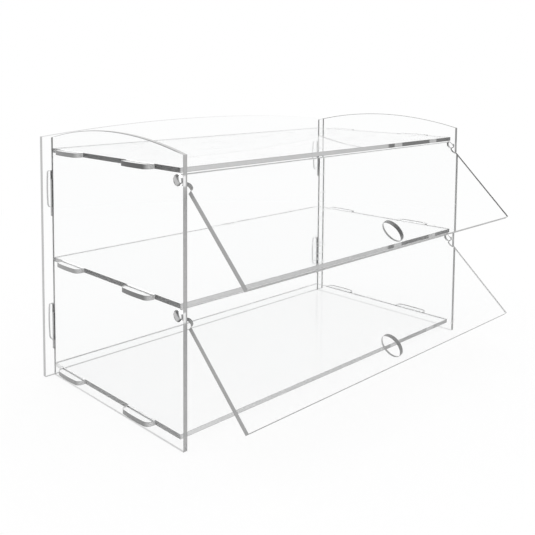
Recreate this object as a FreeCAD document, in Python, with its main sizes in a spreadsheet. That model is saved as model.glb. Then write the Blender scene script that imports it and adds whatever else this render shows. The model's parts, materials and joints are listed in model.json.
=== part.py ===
import FreeCAD, Part
import os
import re
import Sketcher
from collections import namedtuple
from FreeCAD import Placement, Rotation, Vector

# Two-tier countertop bakery case: eight clear sheets that slot together without a fastener.
# X runs along the width, the front faces -Y, Z is up and the case stands on Z = 0.
# Each cut line is drawn with Y = 0 on the sides' rear edges, where the back panel seats.

# Driving sizes, in millimetres and degrees
SIZES = {
    # The sheet and the case
    "sheet_thickness": 5,
    "case_width": 500,
    "side_depth": 240,
    "side_crown_rise": 14.5,
    "back_overhang": 12,
    "back_step": 1.5,
    "back_crown_rise": 12.5,
    # The shelves: their top faces above the counter, and their front edge behind the sides' edge
    "bottom_shelf_height": 14.5,
    "middle_shelf_height": 144,
    "top_shelf_height": 275,
    "shelf_setback": 7,
    "tray_depth": 13,
    # The tabs on the shelves' ends, two to an end
    "tab_length": 45.5,
    "rear_tab_margin": 20,
    "front_tab_margin": 39,
    "tab_reach": 8,
    "tab_crown": 1.5,
    "tab_corner_radius": 6.5,
    # What two sheets that meet leave between them
    "fit_clearance": 0.05,
    # The hooks on the sides' rear edges, which lock when the back panel drops
    "neck_height": 34,
    "hook_lip": 10,
    "hook_reach": 8,
    "hook_crown": 1.5,
    "hook_corner_radius": 4,
    "lower_hook_rise": 27.5,
    "upper_hook_drop": 71,
    # The hinges: flat ears of the door sheet that turn in round holes of the sides
    "hinge_wall": 2.6,
    "hinge_shelf_gap": 1.4,
    "ear_height": 10,
    "ear_reach": 1.5,
    "ear_crown": 0.5,
    "ear_corner_radius": 1.5,
    "ear_clearance": 0.3,
    "relief_radius": 5,
    # The doors: their overlap reaches below the top face of the shelf that they close against
    "door_side_gap": 1.5,
    "upper_door_overlap": 3.5,
    "lower_door_overlap": 5,
    "upper_door_angle": 44,
    "lower_door_angle": 45.5,
    "finger_hole_diameter": 27,
    "finger_hole_height": 20,
}

# Places that several pieces share, as sums of the sizes
OUTER_HALF = "case_width / 2"
INNER_HALF = "(case_width / 2 - sheet_thickness)"
SHELF_HALF = "(case_width / 2 - sheet_thickness - fit_clearance)"
SHELF_DEPTH = "(side_depth - shelf_setback)"
SHELF_HEIGHTS = {
    "bottom_shelf": "bottom_shelf_height",
    "middle_shelf": "middle_shelf_height",
    "top_shelf": "top_shelf_height",
}
FRONT_TAB_END = f"({SHELF_DEPTH} - front_tab_margin)"
TABS = [
    ("rear_tab_margin", "(rear_tab_margin + tab_length)"),
    (f"({FRONT_TAB_END} - tab_length)", FRONT_TAB_END),
]
SIDE_END = "(top_shelf_height + tray_depth)"
BACK_END = f"({SIDE_END} + back_step)"
HOOK_HEIGHTS = ["(bottom_shelf_height + lower_hook_rise)", "(top_shelf_height - upper_hook_drop)"]
TAB_TIP = f"({OUTER_HALF} + tab_reach)"
HOOK_TIP = "(sheet_thickness + hook_reach)"
EAR_RADIUS = "(hypot(sheet_thickness; ear_height) / 2)"
HINGE_HOLE_RADIUS = f"({EAR_RADIUS} + ear_clearance)"
HINGE_DEPTH = f"(side_depth - hinge_wall - {HINGE_HOLE_RADIUS})"
HINGE_DROP = f"(sheet_thickness + hinge_shelf_gap + {EAR_RADIUS})"
UPPER_HINGE = f"(top_shelf_height - {HINGE_DROP})"
LOWER_HINGE = f"(middle_shelf_height - {HINGE_DROP})"
UPPER_LENGTH = f"({UPPER_HINGE} - middle_shelf_height + upper_door_overlap)"
LOWER_LENGTH = f"({LOWER_HINGE} - bottom_shelf_height + lower_door_overlap)"


def door_reach(length, angle):
    """How far the lowest corner of an open door stands in front of its hinge line."""
    return f"({length} * sin({angle}) + sheet_thickness / 2 * cos({angle}))"


# The open doors and the hooks bound the case in Y, and the origin is midway between them.
UPPER_REACH = door_reach(UPPER_LENGTH, "upper_door_angle")
LOWER_REACH = door_reach(LOWER_LENGTH, "lower_door_angle")
FRONT_REACH = f"({HINGE_DEPTH} + max({UPPER_REACH}; {LOWER_REACH}))"
BACK_FACE = f"(({FRONT_REACH} - {HOOK_TIP} - hook_crown) / 2)"

# An outline's points: its corners, and the apex of each edge that is an arc
Corner = namedtuple("Corner", "x y")
Apex = namedtuple("Apex", "x y")

# What a sketch calls an edge's two ends, a circle's centre and its own origin
START, END, CENTRE = 1, 2, 3
ORIGIN = -1
SAME_PLACE = 0.0001

doc = FreeCAD.newDocument("bakery_case")
sheet = doc.addObject("Spreadsheet::Sheet", "Sizes")
for row, (name, number) in enumerate(SIZES.items(), start=1):
    sheet.set(f"A{row}", name)
    sheet.set(f"B{row}", str(number))
    sheet.setAlias(f"B{row}", name)
doc.recompute()


def size(text):
    """A sum of size names, as an expression that reads them from the sheet."""
    return re.sub(r"[a-z_]+", lambda word: f"Sizes.{word[0]}" if word[0] in SIZES else word[0], text)


def value(text):
    """The number that a sum of size names comes to."""
    return float(sheet.evalExpression(size(text)))


def spot(point):
    """A point's place in its sketch's plane."""
    return Vector(value(point.x), value(point.y), 0)


def mirrored(points):
    """The same points on the left half of a piece, in the opposite order."""
    return [point._replace(x=f"-{point.x}") for point in reversed(points)]


def rectangle(left, right, bottom, top):
    """The corners of a rectangular opening."""
    return [Corner(left, bottom), Corner(right, bottom), Corner(right, top), Corner(left, top)]


class CutSheet:
    """One piece: a body whose only sketch is the line that its sheet is cut along."""

    def __init__(self, name, plane):
        self.body = doc.addObject("PartDesign::Body", name)
        self.body.Label = name
        self.sketch = self.body.newObject("Sketcher::SketchObject", f"{name}_cut_line")
        support = [feature for feature in self.body.Origin.OriginFeatures if feature.Role == plane]
        self.sketch.AttachmentSupport = [(support[0], "")]
        self.sketch.MapMode = "FlatFace"
        doc.recompute()

    def constrain(self, text, *constraint):
        """Add one constraint whose size is a sum of size names."""
        index = self.sketch.addConstraint(Sketcher.Constraint(*constraint, value(text)))
        self.sketch.setExpression(f"Constraints[{index}]", size(text))

    def place(self, element, end, point):
        """Hold an end of an element at its place from the sketch's origin."""
        self.constrain(point.x, "DistanceX", ORIGIN, START, element, end)
        self.constrain(point.y, "DistanceY", ORIGIN, START, element, end)

    def line(self, corner, following):
        """Draw a straight edge."""
        return self.sketch.addGeometry(Part.LineSegment(spot(corner), spot(following)))

    def arc(self, corner, apex, following):
        """Draw an edge that is an arc through its apex."""
        element = self.sketch.addGeometry(Part.Arc(spot(corner), spot(apex), spot(following)))
        mark = self.sketch.addGeometry(Part.Point(spot(apex)), True)
        self.place(mark, START, apex)
        self.sketch.addConstraint(Sketcher.Constraint("PointOnObject", mark, START, element))
        return element

    def outline(self, points):
        """Draw a closed line through the corners, which bends through each apex."""
        ends = []
        ring = points + points[:2]
        for corner, second, third in zip(points, ring[1:], ring[2:]):
            if isinstance(corner, Apex):
                continue
            bends = isinstance(second, Apex)
            element = self.arc(corner, second, third) if bends else self.line(corner, second)
            start = self.sketch.getPoint(element, START).distanceToPoint(spot(corner))
            end = self.sketch.getPoint(element, END).distanceToPoint(spot(corner))
            first, last = (START, END) if start < end else (END, START)
            self.place(element, first, corner)
            ends.append((element, first, last))
        for (element, _, last), (following, first, _) in zip(ends, ends[1:] + ends[:1]):
            meeting = Sketcher.Constraint("Coincident", element, last, following, first)
            self.sketch.addConstraint(meeting)

    def hole(self, centre, radius):
        """Draw a round opening."""
        circle = Part.Circle(spot(centre), Vector(0, 0, 1), value(radius))
        element = self.sketch.addGeometry(circle)
        self.place(element, CENTRE, centre)
        self.constrain(radius, "Radius", element)

    def pad(self, side_type="One side", backwards=False):
        """Give the drawing the thickness of the sheet."""
        self.board = self.body.newObject("PartDesign::Pad", f"{self.body.Name}_board")
        self.board.Profile = self.sketch
        self.board.setExpression("Length", size("sheet_thickness"))
        self.board.SideType = side_type
        self.board.Reversed = backwards
        doc.recompute()

    def round_corners(self, corners, radius):
        """Round the board's corners at these places of the drawing."""
        to_drawing = self.sketch.Placement.inverse()
        places = [spot(corner) for corner in corners]
        names = []
        for number, edge in enumerate(self.board.Shape.Edges, start=1):
            ends = [to_drawing.multVec(vertex.Point) for vertex in edge.Vertexes]
            flat = [Vector(end.x, end.y, 0) for end in ends]
            if any(all(end.isEqual(place, SAME_PLACE) for end in flat) for place in places):
                names.append(f"Edge{number}")
        fillet = self.body.newObject("PartDesign::Fillet", f"{self.body.Name}_round_corners")
        fillet.Base = (self.board, names)
        fillet.setExpression("Radius", size(radius))
        doc.recompute()

    def stand(self, x="0", y=BACK_FACE, z="0", lean="0"):
        """Put the piece in its place in the case, leaning about X by an angle."""
        self.body.Placement = Placement(Vector(0, 0, 0), Rotation(Vector(1, 0, 0), value(lean)))
        self.body.setExpression("Placement.Rotation.Angle", size(lean))
        self.body.setExpression("Placement.Base.x", size(x))
        self.body.setExpression("Placement.Base.y", size(y))
        self.body.setExpression("Placement.Base.z", size(z))


def hook(bottom):
    """One hook's corners, going up the rear edge of a side."""
    neck_top = f"({bottom} + neck_height)"
    lip_top = f"({neck_top} + hook_lip)"
    behind_back = "(sheet_thickness + fit_clearance * 2)"
    return [
        Corner("0", bottom),
        Corner(HOOK_TIP, bottom),
        Apex(f"({HOOK_TIP} + hook_crown)", f"({bottom} + {lip_top}) / 2"),
        Corner(HOOK_TIP, lip_top),
        Corner(behind_back, lip_top),
        Corner(behind_back, neck_top),
        Corner("0", neck_top),
    ]


def side_panel(name, x):
    """A side: crowned top, two hooks behind, slots for the shelves and holes for the hinges."""
    side = CutSheet(name, "YZ_Plane")
    hooks = [corner for bottom in HOOK_HEIGHTS for corner in hook(bottom)]
    side.outline([
        Corner("-side_depth", "0"),
        Corner("0", "0"),
        *hooks,
        Corner("0", SIDE_END),
        Apex("-side_depth / 2", f"{SIDE_END} + side_crown_rise"),
        Corner("-side_depth", SIDE_END),
    ])
    for height in SHELF_HEIGHTS.values():
        for start, end in TABS:
            front, rear = f"-({end} + fit_clearance)", f"-({start} - fit_clearance)"
            bottom, top = f"{height} - sheet_thickness - fit_clearance", f"{height} + fit_clearance"
            side.outline(rectangle(front, rear, bottom, top))
    for hinge in (UPPER_HINGE, LOWER_HINGE):
        side.hole(Corner(f"-{HINGE_DEPTH}", hinge), HINGE_HOLE_RADIUS)
    side.pad()
    side.round_corners([corner for corner in hooks if corner.x == HOOK_TIP], "hook_corner_radius")
    side.stand(x=x)
    return side.body


def back_panel():
    """The back: crowned top, and slots that drop over the necks of the sides' hooks."""
    back = CutSheet("back_panel", "XZ_Plane")
    half = f"({OUTER_HALF} + back_overhang)"
    right_edge = [Corner(half, "0"), Corner(half, BACK_END)]
    crown = Apex("0", f"{BACK_END} + back_crown_rise")
    back.outline([*right_edge, crown, *mirrored(right_edge)])
    inner, outer = f"({INNER_HALF} - fit_clearance)", f"({OUTER_HALF} + fit_clearance)"
    for bottom in HOOK_HEIGHTS:
        top = f"{bottom} + neck_height + fit_clearance"
        slot = rectangle(inner, outer, f"{bottom} - hook_lip", top)
        back.outline(slot)
        back.outline(mirrored(slot))
    back.pad(backwards=True)
    back.stand(y=f"{BACK_FACE} + fit_clearance")
    return back.body


def tab(start, end):
    """One tab's corners, going backwards along the right end of a shelf."""
    return [
        Corner(SHELF_HALF, f"-{end}"),
        Corner(TAB_TIP, f"-{end}"),
        Apex(f"({TAB_TIP} + tab_crown)", f"-({start} + {end}) / 2"),
        Corner(TAB_TIP, f"-{start}"),
        Corner(SHELF_HALF, f"-{start}"),
    ]


def shelf(name, height):
    """A shelf: a board that fills the width between the sides, with two tabs on each end."""
    board = CutSheet(name, "XY_Plane")
    tabs = [corner for start, end in reversed(TABS) for corner in tab(start, end)]
    right_end = [Corner(SHELF_HALF, f"-{SHELF_DEPTH}"), *tabs, Corner(SHELF_HALF, "0")]
    board.outline(right_end + mirrored(right_end))
    board.pad()
    tips = [corner for corner in tabs if corner.x == TAB_TIP and isinstance(corner, Corner)]
    board.round_corners(tips + mirrored(tips), "tab_corner_radius")
    board.stand(z=f"{height} - sheet_thickness")
    return board.body


def door(name, hinge, length, angle):
    """A door, drawn hanging from its hinge line: ears, relief notches and a finger hole."""
    flap = CutSheet(name, "XZ_Plane")
    half = f"({INNER_HALF} - door_side_gap)"
    tip = f"({OUTER_HALF} + ear_reach)"
    notch_bottom = "-(ear_height / 2 + relief_radius * 2)"
    tips = [Corner(tip, "-ear_height / 2"), Corner(tip, "ear_height / 2")]
    right_edge = [
        Corner(half, f"-{length}"),
        Corner(half, notch_bottom),
        Apex(f"({half} - relief_radius)", "-(ear_height / 2 + relief_radius)"),
        Corner(half, "-ear_height / 2"),
        tips[0],
        Apex(f"({tip} + ear_crown)", "0"),
        tips[1],
    ]
    flap.outline(right_edge + mirrored(right_edge))
    flap.hole(Corner("0", f"finger_hole_height - {length}"), "finger_hole_diameter / 2")
    flap.pad(side_type="Symmetric")
    flap.round_corners(tips + mirrored(tips), "ear_corner_radius")
    flap.stand(y=f"{BACK_FACE} - {HINGE_DEPTH}", z=hinge, lean=f"-{angle}")
    return flap.body


def stop_if_broken(pieces):
    """Stop if a feature failed, or a piece is not one valid solid."""
    for feature in doc.Objects:
        if {"Invalid", "Error"} & set(feature.State):
            raise RuntimeError(f"{feature.Name} failed: {feature.State}")
    for piece in pieces:
        shape = piece.Shape
        if shape.isNull() or not shape.isValid() or len(shape.Solids) != 1:
            raise RuntimeError(f"{piece.Label} is not one valid solid")


case_pieces = [
    back_panel(),
    side_panel("left_side_panel", f"-{OUTER_HALF}"),
    side_panel("right_side_panel", INNER_HALF),
    *[shelf(name, height) for name, height in SHELF_HEIGHTS.items()],
    door("upper_door", UPPER_HINGE, UPPER_LENGTH, "upper_door_angle"),
    door("lower_door", LOWER_HINGE, LOWER_LENGTH, "lower_door_angle"),
]
doc.recompute()
stop_if_broken(case_pieces)

os.makedirs("parts", exist_ok=True)
for piece in case_pieces:
    piece.Shape.exportStep(f"parts/{piece.Label}.step")
    box = piece.Shape.BoundBox
    print(piece.Label, f"{box.XLength:.2f} x {box.YLength:.2f} x {box.ZLength:.2f} mm")
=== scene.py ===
"""The looks of the countertop bakery display case: eight sheets of clear acrylic on a white
studio floor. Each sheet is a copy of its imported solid, with polished faces and cut edges.
Lengths and places are in metres, with x to the right, y to the back and z up."""

import itertools
import json
import math
from collections import namedtuple

import bmesh
import bpy
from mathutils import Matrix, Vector

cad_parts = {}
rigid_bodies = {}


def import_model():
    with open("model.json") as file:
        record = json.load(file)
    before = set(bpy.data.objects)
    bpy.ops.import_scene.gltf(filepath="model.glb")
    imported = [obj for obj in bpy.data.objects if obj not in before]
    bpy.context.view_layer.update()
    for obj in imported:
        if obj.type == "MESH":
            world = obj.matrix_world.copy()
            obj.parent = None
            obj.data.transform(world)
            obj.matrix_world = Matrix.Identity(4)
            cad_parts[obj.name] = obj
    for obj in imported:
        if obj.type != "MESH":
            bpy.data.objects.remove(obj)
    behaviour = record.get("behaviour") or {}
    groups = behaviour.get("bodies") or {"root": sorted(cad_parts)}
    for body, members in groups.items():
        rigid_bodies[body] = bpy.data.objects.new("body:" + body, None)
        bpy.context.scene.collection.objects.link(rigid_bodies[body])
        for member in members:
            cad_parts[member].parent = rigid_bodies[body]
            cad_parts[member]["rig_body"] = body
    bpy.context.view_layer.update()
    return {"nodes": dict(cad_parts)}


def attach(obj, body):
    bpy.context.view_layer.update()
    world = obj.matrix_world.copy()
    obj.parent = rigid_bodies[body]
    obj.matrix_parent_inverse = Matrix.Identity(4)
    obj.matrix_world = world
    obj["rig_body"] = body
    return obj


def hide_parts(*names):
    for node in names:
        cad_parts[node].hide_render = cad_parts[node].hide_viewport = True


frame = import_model()

# The ways that things look

TO_RIGHT = (1, 0, 0)
TO_BACK = (0, 1, 0)
TO_FRONT = (0, -1, 0)
UPWARD = (0, 0, 1)

# The view, from where the edges meet in the photograph

CAMERA_PLACE = (-0.68369, -0.59509, 0.36395)
CAMERA_HEADING = math.radians(-41.24)
CAMERA_PITCH = math.radians(-4.26)
LEVEL = math.radians(90)
LENS = 48.52
SENSOR = 36.0
FRAME_PIXELS = 535
FRAME_MIDDLE = FRAME_PIXELS / 2
VIEW_AXIS_PIXEL = (192.6, 126.72)
NEAREST = 0.01
MOST_BOUNCES = 64

# The light

WHITE = (1, 1, 1, 1)
KEY_PLACE = (1.2, -1.9, 2.2)
KEY_SIZE = 1.8
KEY_POWER = 16
FILL_PLACE = (-1.5, 1.6, 2.4)
FILL_SIZE = 1.6
FILL_POWER = 8
LAMP_TARGET = (0, 0, 0.15)

# The floor, which lies a hair under the sheets so that no faces meet

FLOOR_HALF = 6.0
FLOOR_DROP = 0.0002
FLOOR_COLOUR = 0.9
SHADOW_SHARE = 0.09
SHADOW_RADIUS = 0.55
SHADOW_FADE = 0.6

# The sheets' shapes, and the places of their finishes in the list of a sheet's materials

FACE_FINISH = 0
EDGE_FINISH = 1
OPENING_FINISH = 2
MERGE_DISTANCE = 0.000001
WALL_SLANT = 0.5
SOFTEST_CORNER = math.radians(30)
CROWN_FOOT = 0.2879
CROWN_EASE = 0.0006

# The middle of Blender's noise, and the three numbers of the screen's tone curve

NOISE_MIDDLE = 0.5
CURVE_OFFSET = 0.055
CURVE_SCALE = 1.055
CURVE_POWER = 2.4

# The polished faces

ACRYLIC_INDEX = 1.49
FACE_COLOUR = (0.994, 0.995, 0.995, 1)
SHADE_COLOUR = (0.96, 0.965, 0.965, 1)
GLOSS_POWER = 2
POLISH_ROUGHNESS = 0.004
SMUDGE_ROUGHNESS = 0.03
SMUDGE_SCALE = 14
SMUDGE_SPAN = (0.45, 0.75)
SCRATCH_ROUGHNESS = 0.08
SCRATCH_SCALE = (9, 160, 31)
SCRATCH_WIDTH = 0.006

# The cut edges' painted light and shade: how light they are painted by the way that they face,
# as shares of white on the screen, and how light the ends are painted of what reaches out
# through a side, in front and behind

EdgeTones = namedtuple("EdgeTones", "left right front rear down up front_tip rear_tip")
OUTLINE_PAINTED_TONES = {
    "left_side_panel": EdgeTones(0.05, 0.05, 0.66, 0.40, 0.76, 0.74, None, None),
    "right_side_panel": EdgeTones(0.30, 0.30, 0.46, 0.44, 0.76, 0.50, None, None),
    "back_panel": EdgeTones(0.72, 0.46, 0.66, 0.50, 0.60, 0.70, None, None),
    "bottom_shelf": EdgeTones(0.66, 0.66, 0.85, 0.76, 0.80, 0.80, 0.54, 0.58),
    "middle_shelf": EdgeTones(0.52, 0.66, 0.80, 0.76, 0.80, 0.80, 0.44, 0.57),
    "top_shelf": EdgeTones(0.43, 0.66, 0.77, 0.44, 0.80, 0.80, 0.32, 0.50),
    "upper_door": EdgeTones(0.62, 0.34, 0.62, 0.76, 0.60, 0.76, 0.72, 0.72),
    "lower_door": EdgeTones(0.62, 0.68, 0.34, 0.76, 0.34, 0.76, 0.72, 0.72),
}
OPENING_PAINTED_TONES = {
    "back_panel": EdgeTones(0.46, 0.46, 0.50, 0.50, 0.60, 0.60, None, None),
    "left_side_panel": EdgeTones(0.50, 0.50, 0.60, 0.60, 0.96, 0.96, None, None),
    "right_side_panel": EdgeTones(0.50, 0.50, 0.60, 0.60, 0.96, 0.96, None, None),
    "upper_door": EdgeTones(0.40, 0.54, 0.66, 0.66, 0.66, 0.54, None, None),
    "lower_door": EdgeTones(0.60, 0.62, 0.62, 0.62, 0.62, 0.62, None, None),
}
THROUGH_COLOUR = (0.95, 0.95, 0.95, 1)

# The slots and hinge holes: no lamp reaches their walls, so they have a painted glow, an emission
# that stands in for the light that is caught in the sheet. In a side, a slot's walls glow less on
# its ends, and elsewhere more at the top than at the counter. The openings in front of
# HINGE_HOLES_BACK are the hinge holes, which glow all round but on the wall that looks back. The
# slots of the back glow evenly

SLOT_END_GLOW = 0.26
SLOT_GLOW_FOOT = 0.34
SLOT_GLOW_RISE = 1.5
BACK_SLOT_GLOW = 0.16
HINGE_HOLES_BACK = -0.06
HINGE_HOLE_GLOW = 0.85
HINGE_HOLE_DARK_FACING = (0.80, 0.95)

# Painted refraction: how light a shelf's right end is painted where its front edge shows it

PAINTED_GLIMPSE_TONES = {"bottom_shelf": 0.66, "middle_shelf": 0.45, "top_shelf": 0.38}

# A side's edges, painted light: how much lighter one of them is painted at the counter than at
# the top, the painted light patch that the outer part of its front edge shows in front of each
# hinge hole, and the hooks behind the back, painted lighter

SIDE_HEIGHT = 0.288
FOOT_PAINTED_LIGHTS = {
    "left_side_panel": (TO_BACK, 1.9),
    "right_side_panel": (TO_FRONT, 0.8),
}
SIDES = tuple(FOOT_PAINTED_LIGHTS)
HINGE_HEIGHTS = (0.263, 0.132)
HINGE_PATCH_HALF = 0.0035
HINGE_PATCH_FADE = 0.003
HINGE_PATCH_INNER = 0.2468
HINGE_PATCH_TONES = {"left_side_panel": 0.92, "right_side_panel": 0.60}
BACK_REAR_FACE = 0.1582
HOOK_TONE = 0.66

CUT_ROUGHNESS = 0.3
STREAK_ROUGHNESS = 0.16
STREAK_SCALE = 1500
STREAK_SHADE = 0.10
STREAK_HEIGHT = 0.00004
BORDER_START = 0.5
BORDER_SHADE = 0.18

# Painted light: a shelf's ends are lighter near the back

END_LIGHT_START = 0.07
END_LIGHT_STOP = 0.15
END_LIGHT = 2.2

# Painted refraction: what a shelf's front edge shows of its right end, painted as dark ground with a
# light patch per tab

FRONT_FADE = 0.26
GLIMPSE_SLOPE = 0.71
GLIMPSE_DEPTH = 0.211
TAB_DEPTHS = (0.064, 0.180)
TAB_PATCH_HALF = 0.010
PATCH_FADE = 0.004
SIDE_INNER_FACE = 0.245
SIDE_OUTER_FACE = 0.25
TABS_APART = 0.04


# Shader sums


class Wire:
    """A socket that plain sums can be written with."""

    def __init__(self, tree, socket):
        self.tree = tree
        self.socket = socket

    def sum(self, operation, first, second=0.0):
        node = self.tree.add("ShaderNodeMath", {"operation": operation}, {0: first, 1: second})
        return Wire(self.tree, node.outputs[0])

    def __add__(self, other):
        return self.sum("ADD", self, other)

    def __radd__(self, other):
        return self.sum("ADD", other, self)

    def __sub__(self, other):
        return self.sum("SUBTRACT", self, other)

    def __rsub__(self, other):
        return self.sum("SUBTRACT", other, self)

    def __mul__(self, other):
        return self.sum("MULTIPLY", self, other)

    def __rmul__(self, other):
        return self.sum("MULTIPLY", other, self)

    def __truediv__(self, other):
        return self.sum("DIVIDE", self, other)

    def __rtruediv__(self, other):
        return self.sum("DIVIDE", other, self)

    def __pow__(self, other):
        return self.sum("POWER", self, other)

    def __abs__(self):
        return self.sum("ABSOLUTE", self)

    def at_least(self, other):
        return self.sum("MAXIMUM", self, other)

    def under(self, other):
        return self.sum("LESS_THAN", self, other)


class Tree:
    """A node tree whose nodes come from one method."""

    def __init__(self, owner):
        owner.use_nodes = True
        self.node_tree = owner.node_tree
        self.node_tree.nodes.clear()

    def add(self, kind, settings=None, sockets=None):
        node = self.node_tree.nodes.new(kind)
        for name, value in (settings or {}).items():
            setattr(node, name, value)
        for name, value in (sockets or {}).items():
            if isinstance(value, Wire):
                self.node_tree.links.new(value.socket, node.inputs[name])
            else:
                node.inputs[name].default_value = value
        return node

    def wire(self, kind, settings=None, sockets=None, output=0):
        return Wire(self, self.add(kind, settings, sockets).outputs[output])

    def vectors(self, operation, first, second, output=0):
        sockets = {0: first, 1: second}
        return self.wire("ShaderNodeVectorMath", {"operation": operation}, sockets, output)

    def dot(self, vector, direction):
        return self.vectors("DOT_PRODUCT", vector, direction, "Value")

    def smooth_step(self, value, low, high):
        settings = {"interpolation_type": "SMOOTHSTEP"}
        sockets = {"Value": value, "From Min": low, "From Max": high}
        return self.wire("ShaderNodeMapRange", settings, sockets)

    def noise(self, place, scale):
        return self.wire("ShaderNodeTexNoise", {}, {"Vector": place, "Scale": scale})

    def grey(self, value):
        return self.wire("ShaderNodeCombineColor", {}, {"Red": value, "Green": value, "Blue": value})

    def mix(self, share, first, second):
        return self.wire("ShaderNodeMixShader", {}, {0: share, 1: first, 2: second})

    def finish(self, surface):
        self.add("ShaderNodeOutputMaterial", {}, {"Surface": surface})


def linear(tone):
    """The light that a grey of this share of white on the screen stands for."""
    return ((tone + CURVE_OFFSET) / CURVE_SCALE) ** CURVE_POWER


# The polished faces


def face_material():
    """Polished acrylic that bends light, with faint smudges and hair scratches. Lamps shine
    straight through it, so that what stands behind a sheet isn't lost in its shadow."""
    material = bpy.data.materials.new("acrylic_face")
    tree = Tree(material)
    place = tree.wire("ShaderNodeTexCoord", output="Object")
    smudge = tree.smooth_step(tree.noise(place, SMUDGE_SCALE), *SMUDGE_SPAN)
    drawn = tree.vectors("MULTIPLY", place, SCRATCH_SCALE)
    scratch = abs(tree.noise(drawn, 1.0) - NOISE_MIDDLE).under(SCRATCH_WIDTH)
    wear = smudge * SMUDGE_ROUGHNESS + scratch * SCRATCH_ROUGHNESS
    roughness = wear + POLISH_ROUGHNESS
    sockets = {"Color": FACE_COLOUR, "Roughness": roughness, "IOR": ACRYLIC_INDEX}
    bent = tree.wire("ShaderNodeBsdfRefraction", {}, sockets)
    mirrored = tree.wire("ShaderNodeBsdfGlossy", {}, {"Color": WHITE, "Roughness": roughness})
    gloss = tree.wire("ShaderNodeFresnel", {}, {"IOR": ACRYLIC_INDEX}) ** GLOSS_POWER
    glass = tree.mix(gloss, bent, mirrored)
    open_way = tree.wire("ShaderNodeBsdfTransparent", {}, {"Color": SHADE_COLOUR})
    lamp_ray = tree.wire("ShaderNodeLightPath", output="Is Shadow Ray")
    tree.finish(tree.mix(lamp_ray, glass, open_way))
    return material


# The cut edges


def inside_sides(tree, place):
    """One between the outer faces of the two sides, and zero where a tab reaches out."""
    return abs(tree.dot(place, TO_RIGHT)).under(SIDE_OUTER_FACE)


def tip_tones(tree, place, tones):
    """The painted light and shade of the ends that look left and right, which changes where they
    reach out.
    """
    if tones.front_tip is None:
        return linear(tones.left), linear(tones.right)
    out = 1 - inside_sides(tree, place)
    front = tree.dot(place, TO_BACK).under(TABS_APART)
    tip = front * (linear(tones.front_tip) - linear(tones.rear_tip)) + linear(tones.rear_tip)
    return [out * (tip - linear(tone)) + linear(tone) for tone in (tones.left, tones.right)]


def painted_facing_shade(tree, place, outward, tones):
    """Painted light and shade on a cut edge, by the way it faces: the squares of its normal's parts
    add up to one, and each part's square takes the painted grey of the side that the part looks to."""
    pairs = (
        tip_tones(tree, place, tones),
        (linear(tones.front), linear(tones.rear)),
        (linear(tones.down), linear(tones.up)),
    )
    total = 0.0
    for way, (low, high) in zip((TO_RIGHT, TO_BACK, UPWARD), pairs):
        part = tree.dot(outward, way)
        total = part * part * (high + part.under(0.0) * (low - high)) + total
    return total


def painted_refraction_glimpse(tree, place, front):
    """One where a ray that enters a shelf's front edge meets its right end beside the tabs, which is
    where a painted refraction goes.
    """
    x = tree.dot(place, TO_RIGHT)
    depth = (SIDE_INNER_FACE - x) / GLIMPSE_SLOPE
    dark = 1 - tree.smooth_step(depth, GLIMPSE_DEPTH - PATCH_FADE, GLIMPSE_DEPTH + PATCH_FADE)
    for middle in TAB_DEPTHS:
        off = abs(depth - middle)
        dark = dark * tree.smooth_step(off, TAB_PATCH_HALF, TAB_PATCH_HALF + PATCH_FADE)
    return dark * front


def shelf_edges(tree, place, outward, tone, dark_tone):
    """A shelf's ends lighten towards the back, a painted light. Its front edge is darker towards the
    right, where it shows the right end: painted shade and a painted refraction."""
    end = abs(tree.dot(outward, TO_RIGHT)) * inside_sides(tree, place)
    # Painted light on a shelf's ends, stronger towards the back
    back = tree.smooth_step(tree.dot(place, TO_BACK), END_LIGHT_START, END_LIGHT_STOP)
    tone = tone * (1 + end * back * END_LIGHT)
    # Painted shade and painted refraction on the front edge
    front = tree.dot(outward, TO_FRONT).at_least(0.0)
    across = tree.dot(place, TO_RIGHT) / SIDE_INNER_FACE
    faded = tone * (1 - front * (across + 1) * FRONT_FADE / 2)
    dark = painted_refraction_glimpse(tree, place, front)
    return faded + dark * (linear(dark_tone) - faded)


def side_edges(tree, place, outward, tone, painted_foot_light, patch_tone):
    """Painted light on a side's edges: they lighten towards the counter and where a hinge hole is
    behind them, and its hooks are lighter."""
    # Painted light, stronger towards the counter
    height = tree.dot(place, UPWARD)
    way, gain = painted_foot_light
    facing = tree.dot(outward, way).at_least(0.0)
    tone = tone * (1 + facing * (1 - height / SIDE_HEIGHT) * gain)
    outer = 1 - abs(tree.dot(place, TO_RIGHT)).under(HINGE_PATCH_INNER)
    front = tree.dot(outward, TO_FRONT).at_least(0.0) * outer
    for hinge in HINGE_HEIGHTS:
        off = abs(height - hinge)
        beside = tree.smooth_step(off, HINGE_PATCH_HALF, HINGE_PATCH_HALF + HINGE_PATCH_FADE)
        tone = tone + front * (1 - beside) * (linear(patch_tone) - tone)
    hook = 1 - tree.dot(place, TO_BACK).under(BACK_REAR_FACE)
    return tone + hook * (linear(HOOK_TONE) - tone)


def painted_slot_glow(tree, piece, place, outward):
    """How much painted glow the walls of a slot or a hinge hole give to the sheet around them."""
    if piece == "back_panel":
        return BACK_SLOT_GLOW
    facing = tree.dot(outward, TO_BACK)
    glow = tree.dot(place, UPWARD) * SLOT_GLOW_RISE + SLOT_GLOW_FOOT
    glow = glow + abs(facing) * (SLOT_END_GLOW - glow)
    round_hole = tree.dot(place, TO_BACK).under(HINGE_HOLES_BACK)
    round_glow = (1 - tree.smooth_step(facing, *HINGE_HOLE_DARK_FACING)) * HINGE_HOLE_GLOW
    return glow + round_hole * (round_glow - glow)


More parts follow.
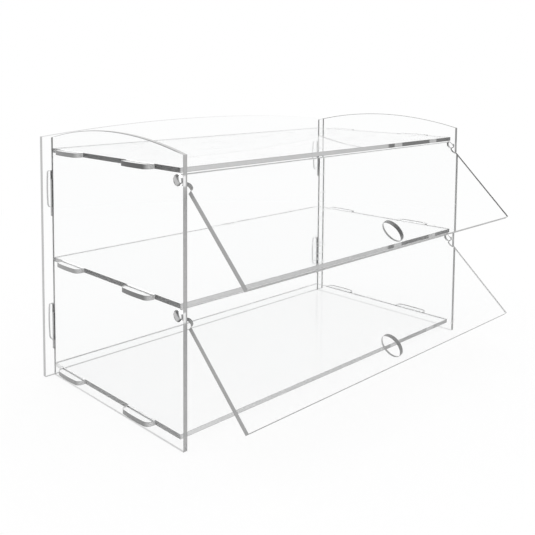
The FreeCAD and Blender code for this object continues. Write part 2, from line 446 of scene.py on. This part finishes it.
def edge_material(piece, kind, tones, way, middle, half):
    """A laser-cut edge: grey by the way it faces, which is painted light and shade, darker along its
    two borders, with fine streaks across the sheet. From within the sheet it shows the light that
    falls on it from outside, or has a painted glow where it is the wall of a slot or a hinge hole."""
    material = bpy.data.materials.new(f"{piece}_{kind}")
    tree = Tree(material)
    place = tree.wire("ShaderNodeTexCoord", output="Object")
    normal = tree.wire("ShaderNodeTexCoord", output="Normal")
    within = tree.wire("ShaderNodeNewGeometry", output="Backfacing")
    outward = tree.vectors("MULTIPLY", normal, tree.grey(1 - within * 2))
    # Painted light and shade: the edge's grey follows the way it faces
    tone = painted_facing_shade(tree, place, outward, tones)
    if piece in PAINTED_GLIMPSE_TONES:
        tone = shelf_edges(tree, place, outward, tone, PAINTED_GLIMPSE_TONES[piece])
    if kind == "edge" and piece in SIDES:
        patch_tone = HINGE_PATCH_TONES[piece]
        tone = side_edges(tree, place, outward, tone, FOOT_PAINTED_LIGHTS[piece], patch_tone)

    along = tree.dot(place, way) - middle
    level = tree.vectors("SUBTRACT", place, tree.vectors("MULTIPLY", tree.grey(along), way))
    streak = tree.noise(level, STREAK_SCALE) - NOISE_MIDDLE
    border = tree.smooth_step(abs(along), half * BORDER_START, half)
    shade = (1 - border * BORDER_SHADE) * (1 + streak * STREAK_SHADE)
    bump = tree.wire("ShaderNodeBump", {}, {"Height": streak, "Distance": STREAK_HEIGHT})
    sockets = {
        "Base Color": tree.grey(tone * shade),
        "Roughness": streak * STREAK_ROUGHNESS + CUT_ROUGHNESS,
        "IOR": ACRYLIC_INDEX,
        "Normal": bump,
    }
    # Painted glow: the walls of openings in the sides and the back emit light seen from within the
    # sheet
    if kind == "opening" and "door" not in piece:
        sockets["Emission Color"] = tree.grey(within * painted_slot_glow(tree, piece, place, outward))
        sockets["Emission Strength"] = 1.0
        tree.finish(tree.wire("ShaderNodeBsdfPrincipled", {}, sockets))
        return material
    cut = tree.wire("ShaderNodeBsdfPrincipled", {}, sockets)
    lit_through = tree.wire("ShaderNodeBsdfTranslucent", {}, {"Color": THROUGH_COLOUR})
    tree.finish(tree.mix(within * tone, cut, lit_through))
    return material


# The sheets


def broad_way(solid):
    """The way that a sheet's two broad faces look."""
    return max(solid.faces, key=lambda face: face.calc_area()).normal.copy()


def rims(solid, way):
    """A sheet's walls, as one list of faces for each line that it is cut along, the longest
    first, which is its outline."""
    walls = {face for face in solid.faces if abs(face.normal.dot(way)) < WALL_SLANT}
    found = []
    while walls:
        rim = []
        waiting = [walls.pop()]
        while waiting:
            face = waiting.pop()
            rim.append(face)
            near = {other for edge in face.edges for other in edge.link_faces} & walls
            walls -= near
            waiting.extend(near)
        found.append(rim)
    return sorted(found, key=lambda rim: sum(face.calc_area() for face in rim), reverse=True)


def on_crown(vertex):
    """Whether a side's vertex is where its crown meets its outer face."""
    return vertex.co.z > CROWN_FOOT and abs(vertex.co.x) > SIDE_OUTER_FACE - MERGE_DISTANCE


def ease_crown(solid):
    """Take the corner off a side's crown along its outer face, which runs out at both ends."""
    rim = [
        edge
        for edge in solid.edges
        if all(on_crown(vertex) for vertex in edge.verts)
        and len({face.material_index for face in edge.link_faces}) > 1
    ]
    spans = [[vertex.co.copy().freeze() for vertex in edge.verts] for edge in rim]
    bmesh.ops.split_edges(solid, edges=rim)
    below = {}
    above = {}
    for vertex in filter(on_crown, solid.verts):
        place = vertex.co.copy().freeze()
        finishes = {face.material_index for face in vertex.link_faces}
        if FACE_FINISH in finishes:
            below[place] = vertex
        if EDGE_FINISH in finishes:
            above[place] = vertex
    for place in below:
        if below[place] is not above[place]:
            below[place].co.z -= CROWN_EASE
            above[place].co.x -= math.copysign(CROWN_EASE, place.x)
    for first, second in spans:
        corners = (below[first], below[second], above[second], above[first])
        strip = solid.faces.new(tuple(dict.fromkeys(corners)))
        strip.material_index = EDGE_FINISH
    bmesh.ops.recalc_face_normals(solid, faces=solid.faces)


def thickness(solid, way):
    """Where a sheet's middle plane lies along the way its broad faces look, and half its
    thickness."""
    along = [vertex.co.dot(way) for vertex in solid.verts]
    return (min(along) + max(along)) / 2, (max(along) - min(along)) / 2


def mark_walls(solid, way):
    """Give a sheet's outline and the walls of its openings their finishes."""
    outline, *openings = rims(solid, way)
    for face in outline:
        face.material_index = EDGE_FINISH
    for face in itertools.chain(*openings):
        face.material_index = OPENING_FINISH


def smooth_curves(solid):
    """Shade round stretches as round and leave the corners sharp."""
    for face in solid.faces:
        face.smooth = True
    for edge in solid.edges:
        edge.smooth = edge.calc_face_angle(math.pi) < SOFTEST_CORNER


def dress(name, node, face_finish):
    """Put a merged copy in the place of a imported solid, with clear faces and cut edges."""
    solid = bmesh.new()
    solid.from_mesh(node.data)
    bmesh.ops.remove_doubles(solid, verts=solid.verts, dist=MERGE_DISTANCE)
    way = broad_way(solid)
    middle, half = thickness(solid, way)
    mark_walls(solid, way)
    if name in SIDES:
        ease_crown(solid)
    smooth_curves(solid)
    mesh = bpy.data.meshes.new(name + "_sheet")
    solid.to_mesh(mesh)
    solid.free()
    mesh.materials.append(face_finish)
    for kind, tones in (("edge", OUTLINE_PAINTED_TONES), ("opening", OPENING_PAINTED_TONES)):
        if name in tones:
            mesh.materials.append(edge_material(name, kind, tones[name], way, middle, half))
    piece = bpy.data.objects.new(name + "_sheet", mesh)
    bpy.context.scene.collection.objects.link(piece)
    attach(piece, node["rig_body"])
    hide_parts(name)


# The stage


def seen_rays(tree):
    """One for rays that show the background: straight, mirrored or through glass."""
    paths = tree.add("ShaderNodeLightPath")
    names = ("Is Camera Ray", "Is Glossy Ray", "Is Transmission Ray")
    camera, glossy, through = (Wire(tree, paths.outputs[name]) for name in names)
    return camera.at_least(glossy).at_least(through)


def white_world():
    """White all round, as a light and to the eye."""
    world = bpy.data.worlds.new("white_studio")
    tree = Tree(world)
    light = tree.wire("ShaderNodeBackground", {}, {"Color": WHITE})
    tree.add("ShaderNodeOutputWorld", {}, {"Surface": light})
    bpy.context.scene.world = world


def floor_material():
    """White to the eye, with the object's shadow near it."""
    material = bpy.data.materials.new("floor_white")
    tree = Tree(material)
    place = tree.wire("ShaderNodeTexCoord", output="Object")
    distance = tree.vectors("LENGTH", place, (0, 0, 0), "Value")
    near = 1 - tree.smooth_step(distance, SHADOW_RADIUS, SHADOW_RADIUS + SHADOW_FADE)
    plain = seen_rays(tree) * (1 - near * SHADOW_SHARE)
    colour = (FLOOR_COLOUR, FLOOR_COLOUR, FLOOR_COLOUR, 1)
    lit = tree.wire("ShaderNodeBsdfDiffuse", {}, {"Color": colour})
    white = tree.wire("ShaderNodeEmission", {}, {"Color": WHITE})
    tree.finish(tree.mix(plain, lit, white))
    return material


def floor():
    """A plain square floor."""
    corners = [
        (-FLOOR_HALF, -FLOOR_HALF, -FLOOR_DROP),
        (FLOOR_HALF, -FLOOR_HALF, -FLOOR_DROP),
        (FLOOR_HALF, FLOOR_HALF, -FLOOR_DROP),
        (-FLOOR_HALF, FLOOR_HALF, -FLOOR_DROP),
    ]
    mesh = bpy.data.meshes.new("floor")
    mesh.from_pydata(corners, [], [(0, 1, 2, 3)])
    mesh.materials.append(floor_material())
    piece = bpy.data.objects.new("floor", mesh)
    bpy.context.scene.collection.objects.link(piece)


def lamp(name, place, size, power):
    """A soft square lamp that shines on the case and shows in no sheet as a mirrored patch."""
    light = bpy.data.lights.new(name, "AREA")
    light.size = size
    light.energy = power
    piece = bpy.data.objects.new(name, light)
    piece.location = place
    way = Vector(LAMP_TARGET) - Vector(place)
    piece.rotation_euler = way.to_track_quat("-Z", "Y").to_euler()
    piece.visible_glossy = False
    piece.visible_transmission = False
    bpy.context.scene.collection.objects.link(piece)


def camera():
    """The photograph's view."""
    view = bpy.data.cameras.new("view")
    view.lens = LENS
    view.sensor_width = SENSOR
    view.shift_x = (FRAME_MIDDLE - VIEW_AXIS_PIXEL[0]) / FRAME_PIXELS
    view.shift_y = (VIEW_AXIS_PIXEL[1] - FRAME_MIDDLE) / FRAME_PIXELS
    view.clip_start = NEAREST
    piece = bpy.data.objects.new("view", view)
    piece.location = CAMERA_PLACE
    piece.rotation_euler = (LEVEL + CAMERA_PITCH, 0, CAMERA_HEADING)
    bpy.context.scene.collection.objects.link(piece)
    bpy.context.scene.camera = piece


def light_paths():
    """Let a ray pass all the sheets that stand behind each other."""
    settings = bpy.context.scene.cycles
    settings.max_bounces = MOST_BOUNCES
    settings.transmission_bounces = MOST_BOUNCES
    settings.glossy_bounces = MOST_BOUNCES
    settings.transparent_max_bounces = MOST_BOUNCES


acrylic_face = face_material()
for name, node in frame["nodes"].items():
    dress(name, node, acrylic_face)
white_world()
floor()
lamp("key", KEY_PLACE, KEY_SIZE, KEY_POWER)
lamp("fill", FILL_PLACE, FILL_SIZE, FILL_POWER)
camera()
light_paths()
bpy.context.scene.view_settings.view_transform = "Standard"
